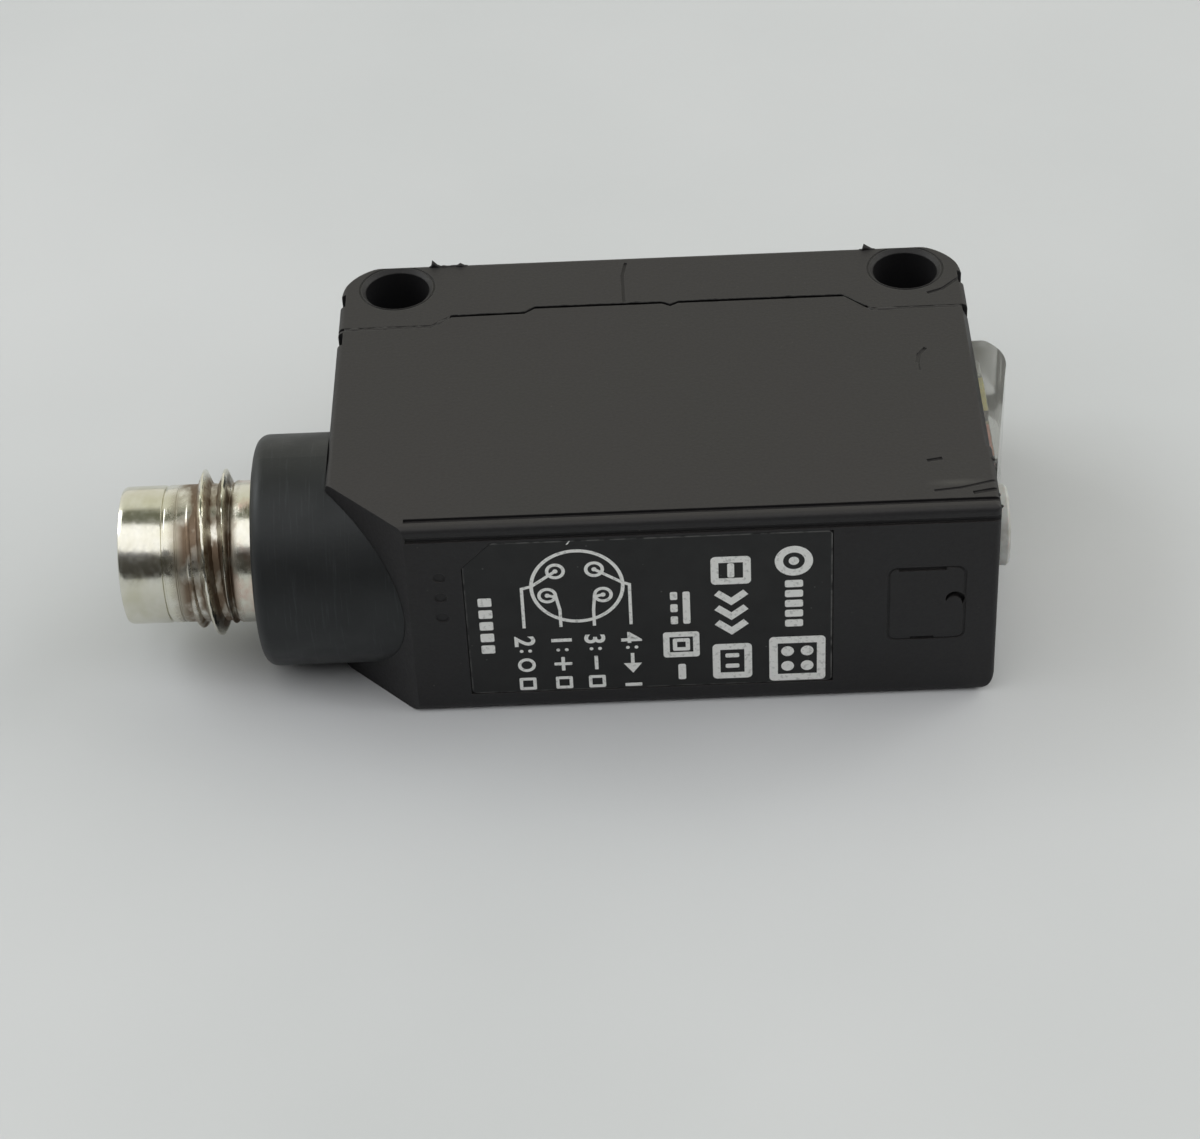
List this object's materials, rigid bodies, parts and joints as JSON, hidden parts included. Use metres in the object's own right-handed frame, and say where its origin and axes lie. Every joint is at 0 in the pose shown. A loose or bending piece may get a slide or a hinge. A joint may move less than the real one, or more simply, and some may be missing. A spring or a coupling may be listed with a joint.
{
  "type": "photoelectric sensor",
  "caption": "Compact black photoelectric sensor with lens face, two through mounting holes, threaded round plug, clear indicator window and two turning adjusters.",
  "frame": {"origin": "middle of the two-hole mounting pattern, on the lower side face", "axes": "+X along the housing to the indicator and adjuster end, +Y out of the lens face, +Z across the thin side of the housing, along the mounting holes"},
  "size_m": [0.0426, 0.0213, 0.0112],
  "materials": {
    "housing": "fine moulded texture, satin black",
    "collar": "smooth satin black",
    "label": "satin black with white print",
    "lens": "clear acrylic, faint red tint",
    "clear_cover": "clear acrylic, polished",
    "seal": "matt",
    "inner_black": "matt",
    "board": "solder mask, satin",
    "chip": "moulded epoxy, matt",
    "ceramic": "fired ceramic, satin",
    "shield": "tin plated, satin",
    "gold_pin": "gold plated",
    "tinned_pin": "tinned",
    "lamp": "clear epoxy",
    "stability_tint": "translucent yellow-green",
    "operation_tint": "translucent orange-red",
    "knob": "pale grey, satin",
    "plug_nickel": "nickel plate, turned, slightly tarnished",
    "wire": "insulated lead, satin"
  },
  "bodies": {
    "housing": {"rear_case": "housing", "front_case": "housing", "label_plate": "label", "front_lens": "lens", "lens_seal": "seal", "optics_holder": "inner_black", "optics_board": "board", "emitter_diode": "lamp", "receiver_diode": "chip", "main_board": "board", "control_ic": "chip", "output_transistor": "chip", "voltage_regulator": "chip", "capacitors": "ceramic", "resistors": "chip", "receiver_shield": "shield", "optics_link_pins": "tinned_pin", "indicator_link_pins": "tinned_pin", "indicator_board": "board", "indicator_leds": "lamp", "stability_light_bar": "stability_tint", "operation_light_bar": "operation_tint", "indicator_cover": "clear_cover", "indicator_cover_seal": "seal", "adjuster_body": "inner_black", "mode_switch_body": "inner_black", "connector_collar": "collar", "connector_shell": "plug_nickel", "connector_o_ring": "seal", "connector_lock_ring": "plug_nickel", "contact_carrier": "inner_black", "contact_pins": "gold_pin", "lead_wires": "wire"},
    "adjuster": {"adjuster_rotor": "knob", "adjuster_o_ring": "seal"},
    "mode_switch": {"mode_switch_rotor": "knob", "mode_switch_o_ring": "seal"}
  },
  "joints": [
    {"name": "sensitivity_turn", "type": "hinge", "parent": "housing", "child": "adjuster", "pos_m": [0.0155, -0.0168, 0.0032], "axis": [-1, 0, 0], "range_deg": [-120, 120]},
    {"name": "mode_turn", "type": "hinge", "parent": "housing", "child": "mode_switch", "pos_m": [0.0155, -0.0168, 0.00815], "axis": [-1, 0, 0], "range_deg": [0, 90]}
  ]
}
